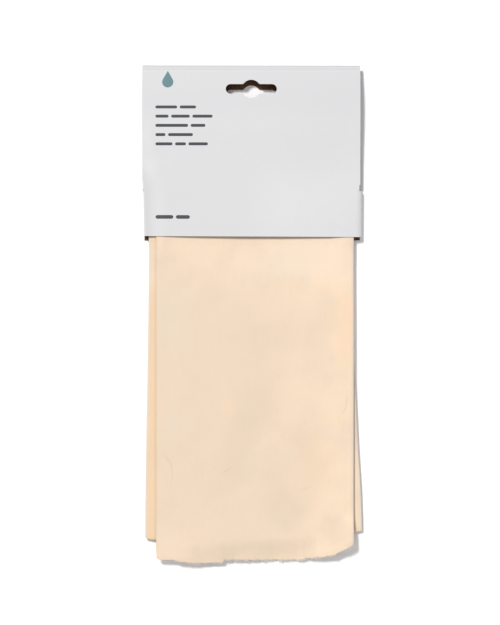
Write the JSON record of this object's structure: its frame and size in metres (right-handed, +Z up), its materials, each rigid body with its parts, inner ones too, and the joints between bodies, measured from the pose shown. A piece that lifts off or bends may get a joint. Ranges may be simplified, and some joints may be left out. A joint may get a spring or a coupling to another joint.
{
  "type": "chamois leather",
  "caption": "Soft folded skin for wiping windows and cars, held in a folded board header with a hang slot.",
  "frame": {"origin": "middle of the footprint, on the surface that the pack lies on", "axes": "+Z up, away from the surface; +Y towards the hang slot; +X to the right as the front is read"},
  "size_m": [0.1412, 0.3204, 0.0072],
  "materials": {
    "board": "matte",
    "hot_melt": "satin",
    "chamois": "matte"
  },
  "bodies": {
    "header": {"header_card": "board", "glue_line_left": "hot_melt", "glue_line_right": "hot_melt"},
    "skin": {"chamois_skin": "chamois"}
  },
  "joints": [
    {"name": "skin_pull_out", "type": "slide", "parent": "header", "child": "skin", "axis": [0, -1, 0], "range_m": [0, 0.09]}
  ]
}
